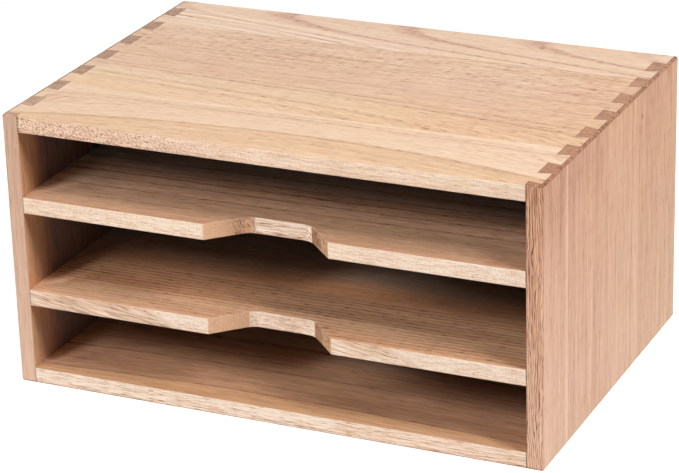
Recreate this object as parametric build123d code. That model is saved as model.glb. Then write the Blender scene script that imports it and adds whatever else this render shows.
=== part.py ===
from build123d import *
import math
import os

# A desk tray stack: a solid-wood case, open at the front, with two fixed shelves that make three tiers.
# X runs left to right, Y from the open front to the back, Z up from the surface that the case stands on.
# The origin is at the centre of the case's underside. All sizes are in millimetres and degrees.

# ---- Case ----
width = 330.0
depth = 227.0
height = 168.0
case_board = 10.0          # thickness of the top, the bottom and the two sides
outer_round = 1.5          # rounding of the case's outside edges

# ---- Tiers and shelves ----
bottom_tier_clear = 40.0   # clear heights between the boards: the middle tier takes what is left
top_tier_clear = 40.0
shelf_board = 10.0
shelf_ease = 0.5           # rounding of the shelf edges that fingers touch

# ---- Stopped housings that hold the shelf ends ----
housing_depth = 4.0
housing_stop = 12.0        # uncut wood between a housing and the front edge of the side
housing_glue_gap = 0.2     # left for glue past the end of a shelf

# ---- Finger notch in the front of each shelf ----
notch_mouth = 77.0
notch_depth = 19.5
notch_wall_angle = 45.0    # between a notch wall and the front edge
notch_inner_round = 12.0
notch_mouth_round = 1.0

# ---- Half-blind dovetails at the four long corners ----
lap = 2.0                  # wood of the side that hides the tail ends
tail_count = 8
pin_root = 16.6            # width of a whole pin on the inner face of the side
front_half_pin = 4.6
back_half_pin = 2.2
tail_angle = 10.0          # flare of a tail's flanks

# ---- Back panel in its rebate ----
back_board = 4.0
rebate_width = 5.0         # ledge that the panel lies on, all round
rebate_round = 6.0         # corner left by the cutter
panel_gap = 0.2            # round the edge of the panel

# ---- Brads that hold the back panel: flat wire with a T head and a chisel point ----
brad_width = 1.3
brad_thickness = 1.0
brad_length = 16.0
brad_point = 2.0
brad_head_width = 2.0
brad_head_thickness = 0.6
brad_hole_gap = 0.05       # round the wire and the head
brads_across = 5           # in the top and in the bottom
brad_end_margin = 18.0     # from the end of a row to the inner face of the side

same_place = 0.001         # two points nearer than this are one

# ---- Worked out from the sizes above ----
inner_width = width - 2 * case_board
inner_half_width = inner_width / 2
front = -depth / 2
back = depth / 2
ledge = back - back_board

lower_shelf_floor = case_board + bottom_tier_clear
lower_shelf_top = lower_shelf_floor + shelf_board
top_board_floor = height - case_board
upper_shelf_top = top_board_floor - top_tier_clear
upper_shelf_floor = upper_shelf_top - shelf_board

tail_length = case_board - lap
tail_flare = tail_length * math.tan(math.radians(tail_angle))
tail_pitch = (depth - front_half_pin - back_half_pin + pin_root) / tail_count
tail_root = tail_pitch - pin_root


def block(x_range, y_range, z_range):
    """A rectangular block between two corners."""
    sizes = [high - low for low, high in (x_range, y_range, z_range)]
    middle = [(high + low) / 2 for low, high in (x_range, y_range, z_range)]
    return Pos(*middle) * Box(*sizes)


def across(side, near, far):
    """The range in X between two distances from the middle. side is +1 on the right and -1 on the left."""
    return sorted((side * near, side * far))


def case_envelope():
    """The outside of the whole case, with every edge rounded."""
    body = block((-width / 2, width / 2), (front, back), (0, height))
    return fillet(body.edges(), outer_round)


def back_recess(gap=0.0):
    """The space that the rebate opens behind the ledge, or the panel that fills it all but a gap."""
    half_width = inner_half_width + rebate_width - gap
    low = case_board - rebate_width + gap
    high = height - low
    body = block((-half_width, half_width), (ledge, back), (low, high))
    return fillet(body.edges().filter_by(Axis.Y), rebate_round - gap)


def tail_middles():
    """Where the tails lie along the corner, from the front to the back."""
    first = front + front_half_pin + tail_root / 2
    return [first + index * tail_pitch for index in range(tail_count)]


def tail_row(side, z_range):
    """The row of tails at one end of the top or the bottom."""
    root_x = side * inner_half_width
    end_x = side * (inner_half_width + tail_length)
    tails = []
    for middle in tail_middles():
        root = tail_root / 2
        end = root + tail_flare
        outline = Polyline(
            (root_x, middle - root),
            (end_x, middle - end),
            (end_x, middle + end),
            (root_x, middle + root),
            close=True,
        )
        low, high = z_range
        tails.append(Pos(0, 0, low) * extrude(make_face(outline), high - low, dir=(0, 0, 1)))
    return tails


def tail_board(z_range):
    """The top or the bottom: a board with a row of tails at each end."""
    board = block((-inner_half_width, inner_half_width), (front, back), z_range)
    board += tail_row(1, z_range) + tail_row(-1, z_range)
    return (board & case_envelope()) - back_recess() - brad_holes()


def shelf_end(side, floor, reach):
    """The end of a shelf past the inner face of a side, or the stopped housing that takes it."""
    x_range = across(side, inner_half_width, inner_half_width + reach)
    return block(x_range, (front + housing_stop, ledge), (floor, floor + shelf_board))


def side_board(side):
    """A side with the tails' sockets, leaving the pins and the lap, and with its two shelf housings."""
    board = block(across(side, inner_half_width, width / 2), (front, back), (0, height)) & case_envelope()
    board -= tail_row(side, (0, case_board)) + tail_row(side, (top_board_floor, height))
    for floor in (lower_shelf_floor, upper_shelf_floor):
        board -= shelf_end(side, floor, housing_depth)
    return board - back_recess() - brad_holes()


def notch_outline():
    """The finger notch: a flat-bottomed opening with slanted walls, cut in from the front edge."""
    slant = notch_depth / math.tan(math.radians(notch_wall_angle))
    mouth = notch_mouth / 2
    floor = mouth - slant
    inner_y = front + notch_depth
    return [(-mouth, front), (-floor, inner_y), (floor, inner_y), (mouth, front)]


def is_front_arris(edge):
    """Whether an edge of a shelf plate runs level along its front or along the notch."""
    level = math.isclose((edge @ 0).Z, (edge @ 1).Z)
    return level and edge.bounding_box().max.Y < front + notch_depth + same_place


def shelf_plate(floor):
    """The part of a shelf that shows, as wide as the case inside, with its notch and eased front edges."""
    left_mouth, left_inner, right_inner, right_mouth = notch_outline()
    outline = Polyline(
        (-inner_half_width, ledge),
        (-inner_half_width, front),
        left_mouth,
        left_inner,
        right_inner,
        right_mouth,
        (inner_half_width, front),
        (inner_half_width, ledge),
        close=True,
    )
    face = make_face(outline)
    inner_corners = [v for v in face.vertices() if math.isclose(v.Y, left_inner[1])]
    face = fillet(inner_corners, notch_inner_round)
    mouth_corners = [v for v in face.vertices() if math.isclose(abs(v.X), right_mouth[0])]
    face = fillet(mouth_corners, notch_mouth_round)
    plate = Pos(0, 0, floor) * extrude(face, shelf_board, dir=(0, 0, 1))
    return fillet([edge for edge in plate.edges() if is_front_arris(edge)], shelf_ease)


def shelf(floor):
    """A shelf: the plate that shows, and an end on each side that fills its housing."""
    board = shelf_plate(floor)
    for side in (-1, 1):
        board += shelf_end(side, floor, housing_depth - housing_glue_gap)
    return board


def brad_places():
    """Where the brads go, as x, z and the turn that lays the flat wire along its row."""
    row_half = inner_half_width - brad_end_margin
    step = 2 * row_half / (brads_across - 1)
    row = [-row_half + index * step for index in range(brads_across)]
    low = case_board - rebate_width / 2
    rows = [(x, z, 0) for z in (low, height - low) for x in row]
    tier_middles = [
        (case_board + lower_shelf_floor) / 2,
        (lower_shelf_top + upper_shelf_floor) / 2,
        (upper_shelf_top + top_board_floor) / 2,
    ]
    beside = inner_half_width + rebate_width / 2
    columns = [(side * beside, z, 90) for side in (-1, 1) for z in tier_middles]
    return rows + columns


def brad_shape(gap=0.0):
    """A brad along +Y with its head flush at y = 0, or the hole it sits in, a gap larger."""
    wire = brad_width / 2 + gap
    head = brad_head_width / 2 + gap
    neck = -brad_head_thickness - gap
    shoulder = brad_point - brad_length - gap
    outline = Polyline(
        (-head, 0),
        (-head, neck),
        (-wire, neck),
        (-wire, shoulder),
        (0, -brad_length - gap),
        (wire, shoulder),
        (wire, neck),
        (head, neck),
        (head, 0),
        close=True,
    )
    return extrude(make_face(outline), brad_thickness / 2 + gap, both=True)


def brads(gap=0.0):
    """All the brads, or all their holes."""
    shape = brad_shape(gap)
    return [Pos(x, back, z) * Rot(0, turn, 0) * shape for x, z, turn in brad_places()]


def brad_holes():
    return brads(brad_hole_gap)


def back_panel():
    return back_recess(panel_gap) - brad_holes()


parts = {
    "left_side": side_board(-1),
    "right_side": side_board(1),
    "top_board": tail_board((top_board_floor, height)),
    "bottom_board": tail_board((0, case_board)),
    "lower_shelf": shelf(lower_shelf_floor),
    "upper_shelf": shelf(upper_shelf_floor),
    "back_panel": back_panel(),
    "back_panel_brads": Compound(children=brads()),
}

os.makedirs("parts", exist_ok=True)
for name, shape in parts.items():
    export_step(shape, f"parts/{name}.step")
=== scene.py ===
"""The looks of the wooden tray stack: a wood material for each board, the studio and the camera.

The model is in metres. The materials work in millimetres from the case's lower left front corner, seen
from the front: x runs to the right, y to the back and z up.
"""
import math

import bpy
from mathutils import Matrix, Vector


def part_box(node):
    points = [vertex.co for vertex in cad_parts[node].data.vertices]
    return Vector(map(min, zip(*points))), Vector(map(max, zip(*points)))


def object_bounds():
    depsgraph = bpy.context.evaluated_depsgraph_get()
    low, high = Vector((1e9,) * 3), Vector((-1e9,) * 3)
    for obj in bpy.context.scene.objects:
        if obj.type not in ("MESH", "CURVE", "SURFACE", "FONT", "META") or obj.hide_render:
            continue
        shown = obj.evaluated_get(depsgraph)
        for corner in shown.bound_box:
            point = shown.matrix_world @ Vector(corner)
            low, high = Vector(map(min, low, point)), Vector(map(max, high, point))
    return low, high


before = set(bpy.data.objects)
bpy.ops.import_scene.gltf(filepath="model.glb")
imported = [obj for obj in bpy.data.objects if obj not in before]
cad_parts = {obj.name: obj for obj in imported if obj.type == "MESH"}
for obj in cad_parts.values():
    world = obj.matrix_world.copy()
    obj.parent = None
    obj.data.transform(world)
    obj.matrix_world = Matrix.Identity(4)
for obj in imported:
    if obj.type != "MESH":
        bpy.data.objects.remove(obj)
cad_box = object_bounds()

# ---- Sizes read from the frame, in millimetres ----
MM = 0.001                 # in metres
low_corner, high_corner = cad_box
WIDTH, DEPTH, HEIGHT = [(high - low) / MM for low, high in zip(low_corner, high_corner)]
MIDDLE = WIDTH / 2
BOARD = (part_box("bottom_board")[1].z - low_corner.z) / MM
LOWER_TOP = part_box("lower_shelf")[1].z / MM
UPPER_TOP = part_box("upper_shelf")[1].z / MM

# ---- Dovetails, for the thin joint lines round them ----
TAIL_COUNT = 8
PIN_ROOT = 16.6
FRONT_HALF_PIN = 4.6
BACK_HALF_PIN = 2.2
LAP = 2.0                  # the sides' wood outside the tails' ends
TAIL_LENGTH = BOARD - LAP
TAIL_FLARE = math.tan(math.radians(10.0))
TAIL_PITCH = (DEPTH - FRONT_HALF_PIN - BACK_HALF_PIN + PIN_ROOT) / TAIL_COUNT
TAIL_ROOT = TAIL_PITCH - PIN_ROOT
FRONT_TAIL = FRONT_HALF_PIN + TAIL_ROOT / 2
JOINT_LINE = 0.28          # half width of a joint line
SOFT = 0.1                 # how far a joint line or a lap fades

# ---- The shelves' finger notch, for the looks of its walls and its floor ----
NOTCH_DEPTH = 19.5
NOTCH_MIDDLE = 10          # half of the stretch in which its left wall's looks turn into its right wall's

# ---- Bare wood by tone, from the darkest pore to the palest sapwood: linear colours ----
WOOD_TONES = [
    (0.00, (0.15, 0.078, 0.045)),
    (0.20, (0.36, 0.200, 0.125)),
    (0.40, (0.56, 0.345, 0.230)),
    (0.55, (0.70, 0.465, 0.320)),
    (0.70, (0.79, 0.565, 0.405)),
    (0.85, (0.87, 0.675, 0.520)),
    (1.00, (0.93, 0.775, 0.640)),
]


class Wire:
    """A number that runs through a material. Arithmetic on it adds maths nodes."""

    def __init__(self, graph, socket):
        self.graph = graph
        self.socket = socket

    def __add__(self, other):
        return self.graph.maths("ADD", self, other)

    def __sub__(self, other):
        return self.graph.maths("SUBTRACT", self, other)

    def __rsub__(self, other):
        return self.graph.maths("SUBTRACT", other, self)

    def __mul__(self, other):
        return self.graph.maths("MULTIPLY", self, other)

    def __truediv__(self, other):
        return self.graph.maths("DIVIDE", self, other)

    __radd__ = __add__
    __rmul__ = __mul__


class Graph:
    """The node tree of one material, with the spot's place and the way its surface faces."""

    def __init__(self, name):
        self.material = bpy.data.materials.new(name)
        self.material.use_nodes = True
        self.tree = self.material.node_tree
        self.shader = self.tree.nodes["Principled BSDF"]
        coordinates = self.add("ShaderNodeTexCoord")
        x, y, z = self.split(coordinates.outputs["Object"])
        self.x = x / MM + MIDDLE
        self.y = y / MM + DEPTH / 2
        self.z = z / MM
        self.facing_x, self.facing_y, self.facing_z = self.split(coordinates.outputs["Normal"])

    def add(self, kind, **settings):
        node = self.tree.nodes.new(kind)
        for name, value in settings.items():
            setattr(node, name, value)
        return node

    def feed(self, socket, value):
        """Connects a wire or a socket to an input, or sets the input to a plain value."""
        if isinstance(value, Wire):
            value = value.socket
        if isinstance(value, bpy.types.NodeSocket):
            self.tree.links.new(value, socket)
        else:
            socket.default_value = value

    def split(self, vector):
        node = self.add("ShaderNodeSeparateXYZ")
        self.feed(node.inputs[0], vector)
        return [Wire(self, output) for output in node.outputs]

    def maths(self, operation, *values):
        node = self.add("ShaderNodeMath", operation=operation)
        for socket, value in zip(node.inputs, values):
            self.feed(socket, value)
        return Wire(self, node.outputs[0])

    def size(self, value):
        return self.maths("ABSOLUTE", value)

    def least(self, one, other):
        return self.maths("MINIMUM", one, other)

    def most(self, one, other):
        return self.maths("MAXIMUM", one, other)

    def smooth(self, value, low, high):
        """0 at low, 1 at high, and a smooth step between. High may be the lower of the two."""
        node = self.add("ShaderNodeMapRange", interpolation_type="SMOOTHSTEP")
        start, end = (0.0, 1.0) if low < high else (1.0, 0.0)
        for socket, number in zip(node.inputs, (value, min(low, high), max(low, high), start, end)):
            self.feed(socket, number)
        return Wire(self, node.outputs[0])

    def near(self, value, reach):
        """1 where the value is 0, fading to 0 at the reach on both sides."""
        return self.smooth(self.size(value), reach, 0.0)

    def choose(self, share, without, full):
        """One value turning into another as the share goes from 0 to 1."""
        if without == full:
            return full
        node = self.add("ShaderNodeMix")
        for socket, value in zip((node.inputs[0], node.inputs[2], node.inputs[3]), (share, without, full)):
            self.feed(socket, value)
        return Wire(self, node.outputs[0])

    def noise(self, along, across, depth, detail=1.0):
        """Smooth noise from about -0.5 to 0.5, one wave to a unit of each coordinate.

        A plain number for a coordinate picks one slice of the noise, so that patterns stay apart.
        """
        point = self.add("ShaderNodeCombineXYZ")
        for socket, value in zip(point.inputs, (along, across, depth)):
            self.feed(socket, value)
        node = self.add("ShaderNodeTexNoise")
        self.feed(node.inputs["Vector"], point.outputs[0])
        self.feed(node.inputs["Scale"], 1.0)
        self.feed(node.inputs["Detail"], detail)
        return Wire(self, node.outputs["Fac"]) - 0.5

    def grain(self, place, length, width, detail=0.0):
        """Noise at an (along, across, depth) place. Its waves have a length along the grain and a width."""
        along, across, depth = place
        return self.noise(along / length, across / width, depth / width, detail)

    def ramp(self, value, stops, interpolation):
        """The colour that (place, colour) stops, with places from 0 to 1, give at a value."""
        node = self.add("ShaderNodeValToRGB")
        node.color_ramp.interpolation = interpolation
        elements = node.color_ramp.elements
        while len(elements) < len(stops):
            elements.new(1.0)
        for element, (place, color) in zip(elements, stops):
            element.position = place
            element.color = (*color, 1)
        self.feed(node.inputs[0], value)
        return node.outputs["Color"]

    def curve(self, value, points):
        """The height, from 0 to 1, that (place, height) points give at a value, eased between them."""
        low, high = points[0][0], points[-1][0]
        stops = [((place - low) / (high - low), (height, height, height)) for place, height in points]
        return Wire(self, self.ramp((value - low) / (high - low), stops, "EASE"))

    def tint(self, tone):
        """The wood's colour for a tone."""
        return self.ramp(tone, WOOD_TONES, "LINEAR")

    def scale_color(self, color, red, green, blue):
        """A colour with each of its parts multiplied by a wire or a number."""
        factors = self.add("ShaderNodeCombineXYZ")
        for socket, value in zip(factors.inputs, (red, green, blue)):
            self.feed(socket, value)
        node = self.add("ShaderNodeVectorMath", operation="MULTIPLY")
        self.feed(node.inputs[0], color)
        self.feed(node.inputs[1], factors.outputs[0])
        return node.outputs[0]

    def relief(self, height, distance):
        """Surface relief, as deep as the distance in millimetres where the height goes from 0 to 1."""
        bump = self.add("ShaderNodeBump")
        self.feed(bump.inputs["Distance"], distance * MM)
        self.feed(bump.inputs["Height"], height)
        self.feed(self.shader.inputs["Normal"], bump.outputs[0])


def spikes(lines):
    """Points of a curve that rises at each line. A line has a place, a height, and a reach either way."""
    places = set()
    for place, height, before, after in lines:
        places.update((round(place - before, 3), place, round(place + after, 3)))
    points = []
    for spot in sorted(places):
        heights = [0.0]
        for place, height, before, after in lines:
            reach = before if spot < place else after
            heights.append(height * max(0.0, 1 - abs(spot - place) / reach))
        points.append((spot, max(heights)))
    return points


def even_lines(first, step, count, height, before, after):
    """Lines at a steady step."""
    return [(first + index * step, height, before, after) for index in range(count)]


class Cut:
    """How a face is cut from the wood. Each value is a number or a wire.

    Along, across and depth are the spot's place in the grain. Level is the wood's tone between its growth
    lines, and line is how full a growth line is. Streaks, pores and specks are how strong the fine marks are.
    Warmth turns the colour from grey to orange, and rose from yellow to pink. Slant turns the specks aside.
    Dark is how dim the wood is, up to 1, and below 0 it is brighter; mostly it carries painted shade and
    painted light, and on the top's front edge a dark joint.
    """

    def __init__(
        self, along, across, depth, level, line=0.0, streaks=1.0, pores=1.0, specks=0.0, warmth=0.0, rose=0.0,
        slant=0.0, dark=0.0,
    ):
        self.along = along
        self.across = across
        self.depth = depth
        self.level = level
        self.line = line
        self.streaks = streaks
        self.pores = pores
        self.specks = specks
        self.warmth = warmth
        self.rose = rose
        self.slant = slant
        self.dark = dark


def pick(wood, share, without, full):
    """One cut turning into another as the share goes from 0 to 1."""
    pairs = zip(vars(without).values(), vars(full).values())
    return Cut(*[wood.choose(share, one, other) for one, other in pairs])


def wander(wood, along, across, depth):
    """How far the grain strays from straight lines, in millimetres."""
    place = (along, across, depth)
    slow = wood.grain(place, length=70, width=16, detail=1.0)
    quick = wood.grain(place, length=9, width=2.5, detail=1.0)
    return slow * 3.0 + quick * 0.9


def growth(wood, across, levels, lines):
    """The level and the lines of a cut: levels are (place, tone) points, and lines are as for spikes."""
    return wood.curve(across, levels), wood.curve(across, spikes(lines))


def joint_lines(wood, front_width):
    """The thin dark lines where boards meet, 1 on a line: round the tails, and at the boards' front ends."""
    into_side = BOARD - wood.least(wood.x, WIDTH - wood.x)
    turns = (wood.y - FRONT_TAIL) / TAIL_PITCH
    offset = wood.size(turns - wood.maths("ROUND", turns)) * TAIL_PITCH
    outside = offset - (TAIL_ROOT / 2 + into_side * TAIL_FLARE)
    on_tail = wood.smooth(into_side, 0.0, SOFT) * wood.smooth(into_side, TAIL_LENGTH + SOFT, TAIL_LENGTH)
    flank = wood.near(outside, JOINT_LINE) * on_tail
    tail_end = wood.near(into_side - TAIL_LENGTH, JOINT_LINE) * wood.smooth(outside, SOFT, -SOFT)
    shoulder = wood.near(into_side, JOINT_LINE) * wood.smooth(outside, -SOFT, SOFT)
    round_tails = wood.most(wood.most(flank, tail_end), shoulder)
    level = wood.smooth(wood.size(wood.facing_z), 0.3, 0.8)
    facing_front = wood.smooth(wood.size(wood.facing_y), 0.3, 0.8)
    return wood.most(round_tails * level, wood.near(into_side, front_width) * facing_front)


def finish_wood(wood, cut, front_joint=0.65):
    """Turns a cut into the shader's colour, roughness and relief. The front joint is a line's half width."""
    place = (cut.along, cut.across, cut.depth)
    fibre = wood.grain(place, length=17, width=0.8, detail=1.5)
    band = wood.grain(place, length=80, width=4.3, detail=1.0)
    vessels = wood.grain(place, length=6, width=0.6)
    turned_along = cut.along - cut.across * cut.slant
    turned_across = cut.across + cut.along * cut.slant
    scatter = wood.noise(turned_along / 2.1, turned_across / 0.85, cut.depth / 0.9 + 9.0, detail=0.0)
    pore = wood.smooth(vessels, 0.06, 0.20)
    speck = wood.smooth(scatter, -0.02, 0.15) * cut.specks
    # Fibres and bands streak the wood, pores darken it, and a growth line is darkest where the pores lie.
    grain = (fibre * 0.46 + band * 0.18) * cut.streaks - pore * 0.11 * cut.pores
    tone = cut.level + grain - cut.line * (0.13 + fibre * 0.30 + pore * 0.16) - speck
    # Broad patches lean to orange or to pink, and specks to pink.
    patch = wood.noise(wood.x / 60, wood.y / 40, wood.z / 45, detail=0.0)
    warm = cut.warmth + patch * 0.5 - speck * 0.4
    rose = (cut.rose - patch * 0.9 + speck * 2.5) * 0.05
    # Dark joint lines and the cut's painted shade and painted light scale the colour.
    light = (1 - joint_lines(wood, front_joint) * 0.7) * (1 - cut.dark)
    green, blue = light * (1 - rose - warm * 0.09), light * (1 - warm * 0.15)
    wood.feed(wood.shader.inputs["Base Color"], wood.scale_color(wood.tint(tone), light, green, blue))
    wood.feed(wood.shader.inputs["Roughness"], tone * -0.12 + 0.66 + pore * 0.15)
    wood.feed(wood.shader.inputs["Specular IOR Level"], 0.35)
    wood.relief(fibre * 0.2 - pore * 0.3 - speck, distance=0.12)
    return wood.material


def flat_board(wood, broad, edge, arris=0.0):
    """A board lying flat: one cut on its broad faces, another on its edges, and an arris between, which
    painted shade can darken.
    """
    level = wood.size(wood.facing_z)
    cut = pick(wood, wood.smooth(level, 0.75, 0.35), broad, edge)
    if arris:
        # Painted shade darkens the arris.
        cut.dark = cut.dark + wood.near(level - 0.6, 0.38) * arris
    return finish_wood(wood, cut)


def ceiling(wood, face):
    """Painted shade: darker, greyer wood on the ceiling of a tier, deeper in than its front."""
    painted_tier_shade = wood.smooth(wood.facing_z, -0.5, -0.8) * wood.smooth(wood.y, 0.0, 25.0)
    face.level = face.level - painted_tier_shade * 0.22
    face.warmth = face.warmth - painted_tier_shade * 2.2
    return face


# ---- The top board: three glued staves ----
FRONT_SEAM = 57.5
BACK_SEAM = 179.5
SEAM_BLEND = 0.15          # how far one stave's wood fades into the next


def front_stave(wood, stray):
    """Calm wood with one broad arch along its front."""
    # From the arch's middle to the board's ends its lines come forward by 19 mm, and those behind by 4.5 mm.
    side = (wood.x - 172.0) / 160.0
    bend = wood.choose(wood.smooth(wood.y, 24.0, 46.0), 19.0, 4.5)
    across = wood.y + bend * side * side + stray * 0.5
    levels = [
        (0, 0.575), (26.5, 0.575), (28.5, 0.655), (40, 0.64), (49, 0.595), (53, 0.63), (56, 0.705),
        (75, 0.705),
    ]
    lines = [
        (7, 0.25, 1.5, 1.5), (14, 0.3, 2, 2), (20, 0.25, 2, 2), (26.5, 0.85, 3.5, 1.4), (49, 0.8, 1.4, 1.6),
        (53, 0.5, 1.2, 1.2),
    ]
    level, line = growth(wood, across, levels, lines)
    arch = wood.smooth(across, 30.0, 24.0)
    right = wood.smooth(wood.x, 120.0, 260.0) * 0.02 + wood.smooth(wood.x, 285.0, 300.0) * 0.03
    return Cut(
        wood.x, across, wood.z, level - arch * right, line, warmth=arch * 0.6 - 0.05, rose=arch * -0.7 - 0.3,
    )


def middle_stave(wood, stray):
    """Pinkish wood whose lines sink towards the front on the right."""
    # The lines slope by 0.115 at y 60, and by less and less behind that.
    slope = wood.maths("EXPONENT", (60.0 - wood.y) / 40.0) * 0.115
    across = wood.y + wood.x * slope + stray * 0.4
    levels = [
        (55, 0.64), (80, 0.61), (87, 0.62), (101, 0.59), (112, 0.545), (150, 0.55), (165, 0.57), (185, 0.56),
    ]
    lines = [
        (81, 0.65, 1.2, 2.2), (87.5, 0.8, 1.2, 2.5), (101, 0.9, 1.2, 2.8), (105.5, 0.75, 1.0, 1.8),
        (121, 0.4, 1.5, 2), (134, 0.45, 1.2, 2), (145.5, 0.6, 1.2, 1.5), (157, 0.8, 1.2, 1.4),
    ]
    level, line = growth(wood, across, levels, lines)
    dashes = wood.smooth(wood.y, 115, 160)
    yellow = wood.smooth(wood.y, 112.0, 75.0)
    front_right = wood.smooth(wood.x, 130.0, 260.0) * wood.smooth(wood.y, 125.0, 65.0)
    front_left = wood.smooth(wood.x, 220.0, 160.0) * wood.smooth(wood.y, 90.0, 70.0)
    back_right = wood.smooth(wood.x, 260.0, 320.0) * wood.smooth(wood.y, 90.0, 140.0)
    back_left = wood.smooth(wood.x, 75.0, 30.0) * wood.smooth(wood.y, 75.0, 95.0)
    return Cut(
        wood.x, across, wood.z,
        level - front_right * 0.045 + back_left * 0.025 + dashes * 0.015 - back_right * 0.035, line,
        streaks=dashes * 0.6 + 1.0, pores=dashes * 1.3 + 1.0,
        warmth=front_right * 0.8 + front_left * 0.35 + back_right * 0.5, rose=yellow * -0.8,
    )


def back_stave(wood, stray):
    """Pale wood with nested arches that point to the left."""
    # The arches are parabolas, with their tips at y 222.
    lift = (222.0 - wood.y) / 3.0
    across = wood.x - lift * lift + stray * 5.0
    levels = [
        (-220, 0.66), (-60, 0.70), (-42, 0.68), (5, 0.70), (78, 0.66), (162, 0.64), (245, 0.635), (330, 0.64),
    ]
    lines = [
        (-110, 0.4, 14, 10), (-42, 0.7, 14, 10), (5, 0.55, 12, 8), (78, 1.0, 22, 9),
        (162, 0.95, 22, 9), (245, 0.9, 22, 9), (310, 0.4, 12, 8),
    ]
    level, line = growth(wood, across, levels, lines)
    # Finer lines, pale and dark by turns, run in from the left end and fade to the right.
    arm = wood.y + wood.x * wood.x * 0.0009 + wood.x * 0.03 + stray * 0.4
    pale_lines = [(190, 0.5, 3, 2), (198, 1.0, 3, 1), (204, 0.9, 2.5, 1.2), (211, 0.6, 2, 1.5)]
    dark_lines = [(193, 0.8, 1.2, 1.2), (199.6, 1.0, 0.8, 1.2), (206, 1.0, 0.9, 1.4), (216, 0.5, 1.5, 1.5)]
    fade = wood.smooth(wood.x, 300.0, 60.0)
    pale = wood.curve(arm, spikes(pale_lines)) * fade
    dark = wood.curve(arm, spikes(dark_lines)) * fade
    return Cut(
        wood.x, wood.y + wood.x * 0.09, wood.z, level + pale * 0.22 - dark * 0.19, line * 1.5,
        warmth=-0.3, rose=line * 1.2,
    )


def glue_seam(wood, distance):
    """The mark of a glued seam: a hair of light beside a hair of dark."""
    return wood.near(distance - 0.35, 0.45) * 0.07 - wood.near(distance + 0.3, 0.4) * 0.07


def top_face(wood, stray):
    """The three staves with their seams."""
    past_front_seam = wood.smooth(wood.y, FRONT_SEAM - SEAM_BLEND, FRONT_SEAM + SEAM_BLEND)
    past_back_seam = wood.smooth(wood.y, BACK_SEAM - SEAM_BLEND, BACK_SEAM + SEAM_BLEND)
    face = pick(wood, past_front_seam, front_stave(wood, stray), middle_stave(wood, stray))
    face = pick(wood, past_back_seam, face, back_stave(wood, stray))
    face.level = face.level + glue_seam(wood, wood.y - FRONT_SEAM) + glue_seam(wood, wood.y - BACK_SEAM)
    return face


def top_edge(wood):
    """The top's front edge: dark dashes on the left, pale streaks on the right, a dotted joint at the end."""
    rise = wood.z - (HEIGHT - BOARD)
    levels = [(-3, 0.73), (1, 0.73), (5, 0.815), (9, 0.795), (13, 0.775)]
    left = wood.smooth(wood.x, 190.0, 50.0)
    gap = wood.near(wood.x - BOARD, 1.9) * wood.smooth(wood.noise(0.0, wood.z / 1.1, 5.0), -0.08, 0.08)
    return Cut(
        wood.x, rise + wood.x * 0.02, wood.y, wood.curve(rise, levels) - left * 0.03,
        streaks=1.6, pores=1.6, specks=left * 0.31 + 0.10, warmth=left * 0.4, rose=left * 0.1, slant=0.7,
        dark=gap * 0.9,
    )


def top_board():
    """The top board, with painted shade that makes its arris slightly darker."""
    wood = Graph("top_wood")
    stray = wander(wood, wood.x, wood.y, wood.z)
    return flat_board(wood, ceiling(wood, top_face(wood, stray)), top_edge(wood), arris=0.16)


# ---- The sides: upright staves ----
def outer_face(wood, along, across):
    """A side's outer face, with a seam near the front and faint upright lines."""
    levels = [
        (-5, 0.53), (30, 0.53), (35.0, 0.56), (36.2, 0.74), (37.5, 0.68), (38.5, 0.53), (62, 0.56),
        (70, 0.54), (75.5, 0.62), (77, 0.58), (80, 0.53), (100, 0.54), (107, 0.59), (144, 0.59),
        (148, 0.62), (154, 0.64), (157.5, 0.55), (186, 0.55), (193, 0.59), (232, 0.57),
    ]
    lines = [
        (25.5, 0.5, 0.6, 1.2), (31.5, 0.4, 1, 1), (39, 0.7, 0.5, 0.8), (47, 0.4, 1, 1), (67, 0.5, 1.2, 1.5),
        (103, 0.45, 0.6, 1.5), (145, 0.4, 1.5, 1.5), (190, 0.7, 0.6, 1.8), (198, 0.6, 1.2, 1.5),
        (215, 0.5, 1.2, 1.5),
    ]
    level, line = growth(wood, across, levels, lines)
    pale_front = wood.smooth(wood.y, 32.0, 22.0) * wood.smooth(wood.z, 130.0, 95.0)
    # Painted shade darkens the upper front part of the face.
    painted_top_shade = wood.smooth(wood.y, 100.0, 80.0) * wood.smooth(wood.z, 125.0, 155.0)
    bands = wood.noise(wood.z / 110, wood.y / 8, 21.0)
    tan = wood.smooth(wood.y, 100.0, 135.0)
    return Cut(
        along, across, wood.x, level + pale_front * 0.055 - painted_top_shade * 0.045 + bands * 0.13, line, streaks=1.1,
        warmth=tan * 0.25 + 0.7, rose=0.6 - tan * 0.35,
    )


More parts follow.
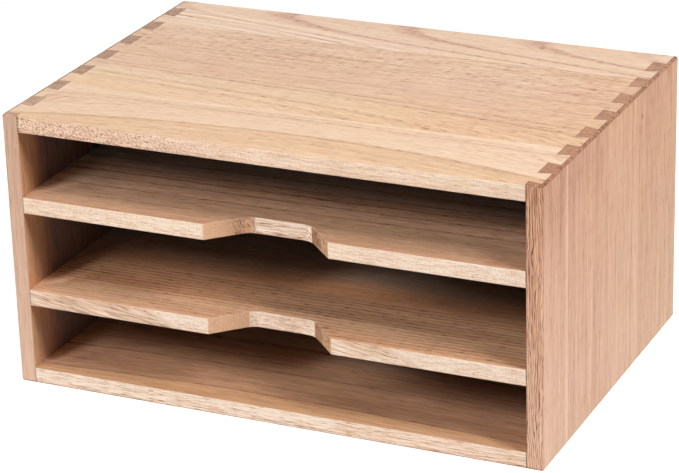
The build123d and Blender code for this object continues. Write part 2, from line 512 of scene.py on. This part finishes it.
def inner_face(wood, along, across, painted_grey_depth):
    """A side's inner face, with painted shade that darkens it towards the back and by the shelves. The last
    argument is how grey the painted shade turns it at the back, from 0 to 1.
    """
    # Painted shade: the wall darkens further in, where it meets the shelves and deep in, and turns greyer at
    # the back.
    deep = wood.smooth(wood.y, 10.0, 30.0)
    high = wood.smooth(wood.z, 70.0, 120.0)
    low = wood.smooth(wood.z, 42.0, 24.0) * wood.smooth(wood.y, 3.0, 12.0)
    middle = wood.near(wood.z - 64.0, 20.0) * wood.smooth(wood.y, 13.0, 7.0)
    back = wood.smooth(wood.y + high * 3.5, 18.0, 34.0) * painted_grey_depth
    front_foot = wood.smooth(wood.z, 60.0, 0.0) * (wood.smooth(wood.y, 16.0, 4.0) * 0.05 + 0.025)
    on_shelves = wood.most(wood.near(wood.z - UPPER_TOP, 12.0), wood.near(wood.z - LOWER_TOP, 10.0) * 0.6)
    foot = on_shelves * wood.smooth(wood.y, 12.0, 28.0)
    far = wood.smooth(wood.y + wood.z * 0.08, 21.0, 42.0) * (wood.z * 0.0008 + 0.39)
    dim = wood.most(far, foot * 0.36)
    return Cut(
        along, across, wood.x, 0.51 - deep * 0.22 - front_foot, streaks=0.6,
        warmth=2.1 - (high * 1.2 + 3.8) * back - low + middle * 0.7,
        rose=deep * 0.6 - 0.8 + (high * 1.6 + 1.9) * back + low * 1.5,
        dark=dim + (1 - dim) * wood.smooth(wood.y, 3.0, 16.0) * 0.16,
    )


def knot(wood, y, z):
    """A pin knot on a side, 1 at its middle: a dark dot drawn out along the grain."""
    sideways, upwards = wood.y - y, wood.z - z
    return wood.near(wood.maths("SQRT", sideways * sideways + upwards * upwards * 0.3), 1.6)


def side_front_edge(wood, stray, coarse):
    """A side's front edge, with painted shade that darkens it towards the top. Coarse wood has dark wavy
    lines close together.
    """
    across = wood.x + stray * 0.6
    rise = wood.z / HEIGHT
    if not coarse:
        return Cut(
            wood.z * 0.6, across, wood.y, 0.605 - rise * 0.20, streaks=0.8, pores=0.6,
            warmth=0.2 - rise * 0.5, rose=0.5,
        )
    wave = wood.noise(wood.z / 9, wood.x / 5, 3.0) * 1.4
    rings = wood.size(wood.maths("FRACT", (across + stray * 1.7 + wave) / 1.3) - 0.5)
    strength = wood.noise(wood.z / 15, wood.x / 1.6, 0.0) * 7.0 + 2.7
    line = wood.smooth(rings, 0.24, 0.02) * strength
    return Cut(
        wood.z, across, wood.y, 0.675 - rise * 0.24, line, streaks=2.0, pores=0.6,
        warmth=rise * 0.8 + line * 0.2 + 0.9, rose=0.3,
    )


def side_end(wood, coarse):
    """A side's end grain, which shows between the tails, and its lap outside them, paler and dashed."""
    lap = wood.smooth(wood.least(wood.x, WIDTH - wood.x), LAP + SOFT, LAP - SOFT)
    dashes = wood.smooth(wood.noise(0.0, wood.y / 3.0, 11.0), -0.05, 0.15)
    dash = lap * wood.near(wood.y - 85.0, 70.0) * dashes
    front = wood.smooth(wood.y, 70.0, 15.0)
    level = 0.28 - front * 0.035 if coarse else front * 0.07 + 0.28
    warmth = 1.8 - wood.y * 0.006 if coarse else -0.7
    return Cut(
        wood.x * 12, wood.y, wood.z, level + lap * 0.02 - dash * 0.16, streaks=lap + 1.5, pores=1.5,
        specks=lap * 0.16 + 0.05, warmth=lap * 0.5 + warmth,
    )


def side_board(name, inner_at, coarse):
    """A side. Inner at is its inner face's place. The coarse one has wavy lines in front and a knot."""
    wood = Graph(name)
    stray = wander(wood, wood.z, wood.y, wood.x)
    along, across = wood.z * 0.6, wood.y + stray * 0.35
    inner = wood.near(wood.x - inner_at, 1.0) * wood.smooth(wood.size(wood.facing_x), 0.6, 0.8)
    inside = inner_face(wood, along, across, painted_grey_depth=0.0 if coarse else 1.0)
    face = pick(wood, inner, outer_face(wood, along, across), inside)
    # Painted shade: the side gets darker and warmer towards the top, in place of the floor's bounce that
    # lights its lower part.
    face.level = face.level - wood.z * 0.0010 + 0.10
    face.warmth = face.warmth + wood.z * 0.003
    if coarse:
        face.line = wood.most(face.line, knot(wood, y=161.0, z=152.0) * 2.5)
    facing_front = wood.smooth(wood.size(wood.facing_y), 0.4, 0.8)
    facing_up = wood.smooth(wood.size(wood.facing_z), 0.1, 0.45)
    cut = pick(wood, facing_front, face, side_front_edge(wood, stray, coarse))
    cut = pick(wood, facing_up, cut, side_end(wood, coarse))
    return finish_wood(wood, cut, front_joint=0.6 if coarse else 0.25)


# ---- Painted light and shade that the shelves and the bottom board share ----
def painted_notch_light(wood):
    """1 where painted light stands for the light that falls on a flat board through the notch above it."""
    in_depth = wood.smooth(wood.y, 52.0, 64.0) * wood.smooth(wood.y, 120.0, 80.0)
    return wood.near(wood.x - 174.0, 48.0) * in_depth


def painted_left_light(wood):
    """1 where a flat board meets the left side, behind its front and short of the deep corner, where painted
    light makes it paler.
    """
    inward = wood.x - BOARD
    short_of_corner = wood.smooth(inward * 2.5 - wood.y, -50.0, -20.0)
    return wood.near(inward, 34.0) * wood.smooth(wood.y - inward, 0.0, 10.0) * short_of_corner


def painted_left_grey_shade(wood):
    """1 on a flat board in the deep corner with the left side, where painted shade turns the wood greyer."""
    return wood.near(wood.x - BOARD, 34.0) * wood.smooth(wood.y, 28.0, 60.0)


def painted_right_shade(wood):
    """1 on a flat board close to the right side, a little behind the front, where painted shade darkens it.
    """
    return wood.near(wood.y - 17.0, 10.0) * wood.smooth(wood.x, 278.0, 300.0)


# ---- The shelves and the bottom board ----
def upper_shelf_face(wood, stray):
    """Brown wood, a pale line near the front and thin growth lines behind it."""
    levels = [
        (-5, 0.37), (7, 0.445), (13.2, 0.48), (14.0, 0.52), (14.8, 0.405), (45, 0.375), (60, 0.315),
        (230, 0.26),
    ]
    lines = [
        (32, 0.8, 1.8, 1.2), (45, 1.0, 2.0, 1.3), (55, 1.0, 2.0, 1.3), (64, 0.8, 2, 1.2), (77, 0.7, 2, 1.2),
        (96, 0.8, 2, 1), (118, 0.7, 3, 1.5),
    ]
    across = wood.y - wood.x * 0.016 + stray * 0.5
    level, line = growth(wood, across, levels, lines)
    # Painted shade darkens and greys the wood towards the back and darkens it by the right side; painted
    # light makes it paler by the left side and lightens a band to the right.
    back = wood.smooth(wood.y, 58.0, 84.0)
    warm_front = 1.0 - wood.smooth(wood.y, 5.0, 30.0) * 0.8
    painted_grey_depth = wood.smooth(wood.y, 55.0, 85.0) * 2.0 + back * 6.2
    painted_light_right = wood.near(wood.y - 47.0, 14.0) * (wood.x - 180.0) * 0.0010
    return Cut(
        wood.x, across, wood.z, level, line * 1.4,
        warmth=warm_front - painted_grey_depth - painted_left_light(wood) - painted_left_grey_shade(wood) * 2.4, rose=back * 4.5 - 0.3,
        dark=back * 0.25 + painted_right_shade(wood) * 0.25 - painted_light_right - painted_left_light(wood) * 0.8,
    )


def lower_shelf_face(wood, stray):
    """Brown wood with straight lines at a steady step, some full and some faint."""
    levels = [
        (-5, 0.44), (8, 0.45), (16, 0.54), (25, 0.53), (26.2, 0.60), (27.4, 0.425), (36, 0.425), (42, 0.445),
        (53, 0.44), (62, 0.37), (230, 0.30),
    ]
    lines = even_lines(first=4.5, step=3.8, count=14, height=1.0, before=2.3, after=1.5)
    across = wood.y + wood.x * 0.001 + stray * 0.9
    level, line = growth(wood, across, levels, lines)
    strength = wood.noise(wood.x / 50, wood.y / 5, 3.0) * 3.4 + 1.25
    left = wood.smooth(wood.x, 190.0, 90.0)
    right = 1 - left
    front = wood.smooth(wood.y, 28.0, 20.0)
    # Painted shade darkens and greys the wood towards the back and darkens the right part behind the front, a
    # band across it and its right corner; painted light makes it paler at two patches, by the left side and
    # under the notch above.
    back = wood.smooth(wood.y, 65.0, 100.0)
    painted_shade_right_back = right * wood.smooth(wood.y, 42.0, 62.0)
    right_dip = right * wood.near(wood.y - 35.0, 9.0)
    painted_light_patch_left = wood.near(wood.x - 98.0, 34.0) * wood.near(wood.y - 28.0, 16.0)
    across_patch = wood.smooth(wood.x, 130.0, 155.0) * wood.smooth(wood.x, 265.0, 235.0)
    painted_right_patch = wood.near(wood.y - 22.0, 8.0) * across_patch
    warm_left = left * (1.1 - wood.smooth(wood.y, 26.0, 18.0) * 0.8)
    warm_right = right * wood.smooth(wood.y, 20.0, 8.0) * 0.4 + painted_shade_right_back * 1.4
    dimmed = painted_shade_right_back * 0.20 + back * 0.05 + right_dip * 0.07 + painted_right_shade(wood) * 0.18
    lit = painted_notch_light(wood) * 0.6 + painted_light_patch_left * 0.2 + painted_right_patch * 0.2 + painted_left_light(wood) * 0.9
    return Cut(
        wood.x, across, wood.z, level + front * 0.01 + 0.03, line * strength * (1 - left * front * 0.5),
        warmth=warm_left + warm_right + 1.3 - back * 5.5 - painted_left_light(wood) - painted_left_grey_shade(wood) * 2.6,
        rose=back * 1.5 - 0.6, dark=dimmed - lit,
    )


def bottom_face(wood, stray):
    """Brown wood with a paler strip along its front. Its lines bend towards the front at the ends."""
    side = (wood.x - 165.0) / 155.0
    across = wood.y + side * side * 7.0 + stray * 0.8
    levels = [(-5, 0.39), (6, 0.425), (13.8, 0.46), (15.2, 0.37), (40, 0.40), (60, 0.37), (240, 0.31)]
    lines = [
        (14.8, 0.7, 0.6, 2.0), (27, 0.4, 1.5, 1.0), (37, 0.4, 1.5, 1.0), (46, 0.8, 2.0, 1.2),
        (62, 0.6, 2, 1.2), (80, 0.8, 2.5, 1.5), (120, 0.8, 3, 1.5),
    ]
    level, line = growth(wood, across, levels, lines)
    strip = wood.smooth(across, 18.0, 12.0)
    # Painted shade greys the wood towards the back and darkens the right half and a patch on it; painted
    # light makes it paler at a patch on the left, by the left side and under the notch above.
    painted_grey_depth = wood.smooth(wood.y, 55.0, 90.0) * 3.6
    right = wood.smooth(wood.x, 150.0, 220.0)
    right_shade = (wood.smooth(wood.y, 20.0, 60.0) * 0.11 + wood.near(wood.y - 19.0, 8.0) * 0.08) * right
    painted_right_patch = wood.near(wood.x - 218.0, 28.0) * wood.near(wood.y - 49.0, 14.0)
    painted_light_patch_left = wood.near(wood.x - 110.0, 20.0) * wood.near(wood.y - 30.0, 14.0)
    lit = painted_notch_light(wood) * 0.55 + painted_light_patch_left * 0.2 + painted_left_light(wood) * 0.75
    return Cut(
        wood.x, across, wood.z, level + strip * wood.least(side, 0.0) * 0.02, line * 1.3, pores=0.5,
        warmth=strip * 0.5 + 1.5 - painted_grey_depth - painted_left_light(wood) - painted_left_grey_shade(wood) * 2.4,
        rose=-0.4 - strip * 0.9, dark=right_shade + painted_right_patch * 0.22 - lit,
    )


def pale_edge(wood, rise, marks=1.0):
    """A pale front edge with fine specks and faint streaks. Marks is how streaked the notch's floor is."""
    levels = [(-3, 0.82), (2, 0.87), (8, 0.90), (13, 0.88)]
    left = wood.smooth(wood.x, 70.0, 20.0)
    floor = wood.smooth(wood.y, NOTCH_DEPTH - 4.5, NOTCH_DEPTH - 1.5) * marks
    return Cut(
        wood.x * (1.6 - floor * 0.8), rise, wood.y, wood.curve(rise, levels) - left * 0.05 + floor * 0.05,
        streaks=floor * 1.8 + 2.0, pores=floor * 2.0 + 1.5, specks=0.14 - floor * 0.06, rose=floor * 0.2,
    )


def lower_edge(wood, rise):
    """The lower shelf's front edge: streaks that slant down to the right, then pale, then a streak again."""
    slant = wood.x + rise * 2.0
    left = wood.smooth(slant, 112.0, 102.0)
    right = wood.smooth(slant, 196.0, 206.0) * wood.smooth(slant, 262.0, 252.0) * 0.75
    streaked = Cut(wood.x * 0.7, rise + wood.x * 0.16, wood.y, 0.64, streaks=3.6, pores=2.8)
    return pick(wood, wood.most(left, right), pale_edge(wood, rise, marks=0.3), streaked)


def notch_wall(wood, end_grain):
    """The slanted walls of a notch: tan on the left, browner on the right. End grain shows as dark specks."""
    right = wood.smooth(wood.x, MIDDLE - NOTCH_MIDDLE, MIDDLE + NOTCH_MIDDLE)
    inner = wood.smooth(wood.y, NOTCH_DEPTH - 8.0, NOTCH_DEPTH - 5.5) * (1 - right) * end_grain
    darker = right * (wood.smooth(wood.y, 2.0, 15.0) * 0.20 + 0.21)
    return Cut(
        (wood.x * 0.7 + wood.z * 0.5) * 1.8, (wood.z * 0.35 + wood.x * 0.5) * 1.5, wood.y, 0.63 - darker,
        streaks=right * 1.6 + 0.7, pores=right + 0.5, specks=inner * 0.40 + right * 0.14,
        warmth=1.7 - right * 0.4, rose=right * -1.2 - 0.3, slant=0.3,
    )


def shelf(name, face, edge, top, end_grain):
    """A shelf. End grain is how much of it shows at the inner corners of the notch, from 0 to 1."""
    wood = Graph(name)
    stray = wander(wood, wood.x, wood.y, wood.z)
    left = wood.smooth(wood.x, MIDDLE + NOTCH_MIDDLE, MIDDLE - NOTCH_MIDDLE)
    start = 0.5 - left * 0.4 * end_grain
    turned = wood.smooth(wood.size(wood.facing_x) - start, 0.0, 0.1)
    sides = pick(wood, turned, edge(wood, wood.z - (top - BOARD)), notch_wall(wood, end_grain))
    return flat_board(wood, ceiling(wood, face(wood, stray)), sides)


def bottom_edge(wood):
    """The bottom's front edge, pale and streaked."""
    levels = [(-3, 0.78), (1.5, 0.82), (4, 0.92), (9, 0.95), (13, 0.93)]
    right = wood.smooth(wood.x, 190.0, 270.0)
    return Cut(
        wood.x, wood.z, wood.y, wood.curve(wood.z, levels) - right * 0.05,
        streaks=3.4, pores=3.0, specks=0.08, warmth=right * 0.5,
    )


def bottom_board():
    """The bottom board. Its underside is no tier's ceiling, so it gets no painted shade."""
    wood = Graph("bottom_wood")
    stray = wander(wood, wood.x, wood.y, wood.z)
    return flat_board(wood, bottom_face(wood, stray), bottom_edge(wood))


# ---- The back panel and its brads ----
def back_panel():
    """Plain wood with wide arched lines, and painted shade that darkens and greys the side that faces the
    tiers.
    """
    wood = Graph("back_wood")
    levels = [(0, 0.62), (60, 0.60), (HEIGHT, 0.63)]
    lines = [
        (22, 0.7, 2, 3), (41, 0.6, 2, 3), (66, 0.8, 2, 3), (88, 0.7, 2, 3), (113, 0.6, 2, 3),
        (141, 0.7, 2, 3),
    ]
    side = (wood.x - 120.0) / 170.0
    across = wood.z + side * side * 12.0 + wander(wood, wood.x, wood.z, wood.y)
    level, line = growth(wood, across, levels, lines)
    # Painted shade: the side that faces the tiers is darker and greyer.
    painted_tier_shade = wood.smooth(wood.facing_y, -0.5, -0.8)
    return finish_wood(wood, Cut(wood.x, across, wood.y, level - painted_tier_shade * 0.38, line, warmth=painted_tier_shade * -1.2))


def brad_steel():
    """Bright drawn wire with fine scratches."""
    steel = Graph("brad_steel")
    scratches = steel.noise(steel.x / 0.15, steel.y / 2.5, steel.z / 0.15, detail=2.0)
    grey = scratches * 0.2 + 0.56
    steel.feed(steel.shader.inputs["Base Color"], steel.scale_color((1, 1, 1), grey, grey, grey * 1.02))
    steel.feed(steel.shader.inputs["Metallic"], 1.0)
    steel.feed(steel.shader.inputs["Roughness"], scratches * 0.3 + 0.36)
    steel.relief(scratches, distance=0.02)
    return steel.material


def dress():
    """Gives each board its material."""
    looks = {
        "left_side": side_board("left_side_wood", BOARD, coarse=False),
        "right_side": side_board("right_side_wood", WIDTH - BOARD, coarse=True),
        "top_board": top_board(),
        "bottom_board": bottom_board(),
        "lower_shelf": shelf("lower_shelf_wood", lower_shelf_face, lower_edge, LOWER_TOP, end_grain=0.0),
        "upper_shelf": shelf("upper_shelf_wood", upper_shelf_face, pale_edge, UPPER_TOP, end_grain=1.0),
        "back_panel": back_panel(),
        "back_panel_brads": brad_steel(),
    }
    for node, material in looks.items():
        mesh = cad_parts[node].data
        mesh.materials.clear()
        mesh.materials.append(material)


# ---- The camera, in degrees, metres and, for the lens, millimetres ----
CAMERA_AZIMUTH = 25.0276
CAMERA_ELEVATION = 22.2443
CAMERA_ROLL = -1.7315
CAMERA_PLACE = (0.65522, -1.41865, 0.71158)
CAMERA_LENS = 150.504
SENSOR_WIDTH = 36

# ---- The studio ----
WORLD_LIGHT = 0.03
FLOOR_REACH = 15.0         # metres from the middle to the floor's edge
FLOOR_BOUNCE = 0.55        # how much light the floor throws back at the object
FLOOR_SEEN = 0.8           # the floor's own grey where it is seen, which takes the shadow
FLOOR_LIFT = 0.62          # what is added to that, so that the floor looks white but for the shadow
FLOOR_WHITE_FROM = 0.30    # metres from the middle, where the seen floor starts to turn plain white
FLOOR_WHITE_AT = 0.75      # and where it has done so


def direction(azimuth, elevation):
    """The way from the object to a point. Azimuth 0 is in front, and it turns to the right."""
    turn, rise = math.radians(azimuth), math.radians(elevation)
    return Vector((math.sin(turn) * math.cos(rise), -math.cos(turn) * math.cos(rise), math.sin(rise)))


def add_camera():
    """The camera at the photograph's viewing angle."""
    turn, roll = math.radians(CAMERA_AZIMUTH), math.radians(CAMERA_ROLL)
    toward = direction(CAMERA_AZIMUTH, CAMERA_ELEVATION)
    level = Vector((math.cos(turn), math.sin(turn), 0))
    upright = toward.cross(level)
    right = level * math.cos(roll) + upright * math.sin(roll)
    up = upright * math.cos(roll) - level * math.sin(roll)
    place = Matrix((right, up, toward)).transposed().to_4x4()
    place.translation = Vector(CAMERA_PLACE)
    camera = bpy.data.objects.new("camera", bpy.data.cameras.new("camera"))
    camera.data.sensor_width = SENSOR_WIDTH
    camera.data.lens = CAMERA_LENS
    camera.matrix_world = place
    bpy.context.scene.collection.objects.link(camera)
    bpy.context.scene.camera = camera


def add_panel(name, azimuth, elevation, level, distance=2.0, side=0.92):
    """A square soft light. At level 1 a surface that faces it shows its own colour."""
    toward = direction(azimuth, elevation)
    light = bpy.data.lights.new(name, "AREA")
    light.shape = "SQUARE"
    light.size = side
    light.energy = level * math.pi ** 2 * distance ** 2
    lamp = bpy.data.objects.new(name, light)
    lamp.location = Vector((0, 0, HEIGHT * MM / 2)) + toward * distance
    lamp.rotation_mode = "QUATERNION"
    lamp.rotation_quaternion = toward.to_track_quat("Z", "Y")
    bpy.context.scene.collection.objects.link(lamp)
    return lamp


def add_lights():
    """The lights, of which the one behind leaves no reflection."""
    add_panel("key", azimuth=-25, elevation=32, level=0.44, side=0.46)
    add_panel("left_key", azimuth=-45, elevation=30, level=0.25, side=0.46)
    add_panel("right_fill", azimuth=75, elevation=45, level=0.86, side=0.71)
    add_panel("overhead", azimuth=38, elevation=62, level=0.11)
    back_fill = add_panel("back_fill", azimuth=180, elevation=8, level=0.32, side=0.46)
    back_fill.visible_glossy = False


def backdrop_share(tree):
    """1 for what the camera, a reflection or a refraction sees directly, 0 for what lights the object."""
    path = tree.nodes.new("ShaderNodeLightPath")
    share = path.outputs["Is Camera Ray"]
    for ray in ("Is Glossy Ray", "Is Transmission Ray"):
        both = tree.nodes.new("ShaderNodeMath")
        both.operation = "MAXIMUM"
        tree.links.new(share, both.inputs[0])
        tree.links.new(path.outputs[ray], both.inputs[1])
        share = both.outputs[0]
    return share


def add_world():
    """A faint even light that looks white where it is seen."""
    world = bpy.data.worlds.new("studio")
    world.use_nodes = True
    tree = world.node_tree
    strength = tree.nodes.new("ShaderNodeMapRange")
    tree.links.new(backdrop_share(tree), strength.inputs[0])
    strength.inputs["To Min"].default_value = WORLD_LIGHT
    strength.inputs["To Max"].default_value = 1.0
    background = tree.nodes["Background"]
    background.inputs["Color"].default_value = (1, 1, 1, 1)
    tree.links.new(strength.outputs[0], background.inputs["Strength"])
    bpy.context.scene.world = world


def floor_material():
    """White where it is seen, but for the object's shadow, and a modest bounce of light elsewhere."""
    material = bpy.data.materials.new("floor")
    material.use_nodes = True
    tree = material.node_tree
    tree.nodes.clear()

    def add(kind, **inputs):
        node = tree.nodes.new(kind)
        for name, value in inputs.items():
            node.inputs[name].default_value = value
        return node

    bounce = add("ShaderNodeBsdfDiffuse", Color=(FLOOR_BOUNCE, FLOOR_BOUNCE, FLOOR_BOUNCE, 1))
    seen = add("ShaderNodeBsdfDiffuse", Color=(FLOOR_SEEN, FLOOR_SEEN, FLOOR_SEEN, 1))
    lift = add("ShaderNodeEmission", Strength=FLOOR_LIFT)
    white = add("ShaderNodeEmission", Strength=1.0)
    shadowed = add("ShaderNodeAddShader")
    place = add("ShaderNodeTexCoord")
    distance = add("ShaderNodeVectorMath")
    distance.operation = "LENGTH"
    far = add("ShaderNodeMapRange")
    far.inputs["From Min"].default_value = FLOOR_WHITE_FROM
    far.inputs["From Max"].default_value = FLOOR_WHITE_AT
    shown = add("ShaderNodeMixShader")
    result = add("ShaderNodeMixShader")
    output = add("ShaderNodeOutputMaterial")
    for source, target in (
        (seen.outputs[0], shadowed.inputs[0]),
        (lift.outputs[0], shadowed.inputs[1]),
        (place.outputs["Object"], distance.inputs[0]),
        (distance.outputs["Value"], far.inputs[0]),
        (far.outputs[0], shown.inputs[0]),
        (shadowed.outputs[0], shown.inputs[1]),
        (white.outputs[0], shown.inputs[2]),
        (backdrop_share(tree), result.inputs[0]),
        (bounce.outputs[0], result.inputs[1]),
        (shown.outputs[0], result.inputs[2]),
        (result.outputs[0], output.inputs["Surface"]),
    ):
        tree.links.new(source, target)
    return material


def add_floor():
    """A square floor under the object."""
    corners = [
        (-FLOOR_REACH, -FLOOR_REACH, 0), (FLOOR_REACH, -FLOOR_REACH, 0), (FLOOR_REACH, FLOOR_REACH, 0),
        (-FLOOR_REACH, FLOOR_REACH, 0),
    ]
    mesh = bpy.data.meshes.new("floor")
    mesh.from_pydata(corners, [], [(0, 1, 2, 3)])
    mesh.materials.append(floor_material())
    floor = bpy.data.objects.new("floor", mesh)
    bpy.context.scene.collection.objects.link(floor)


dress()
add_camera()
add_lights()
add_world()
add_floor()
bpy.context.scene.view_settings.view_transform = "Standard"
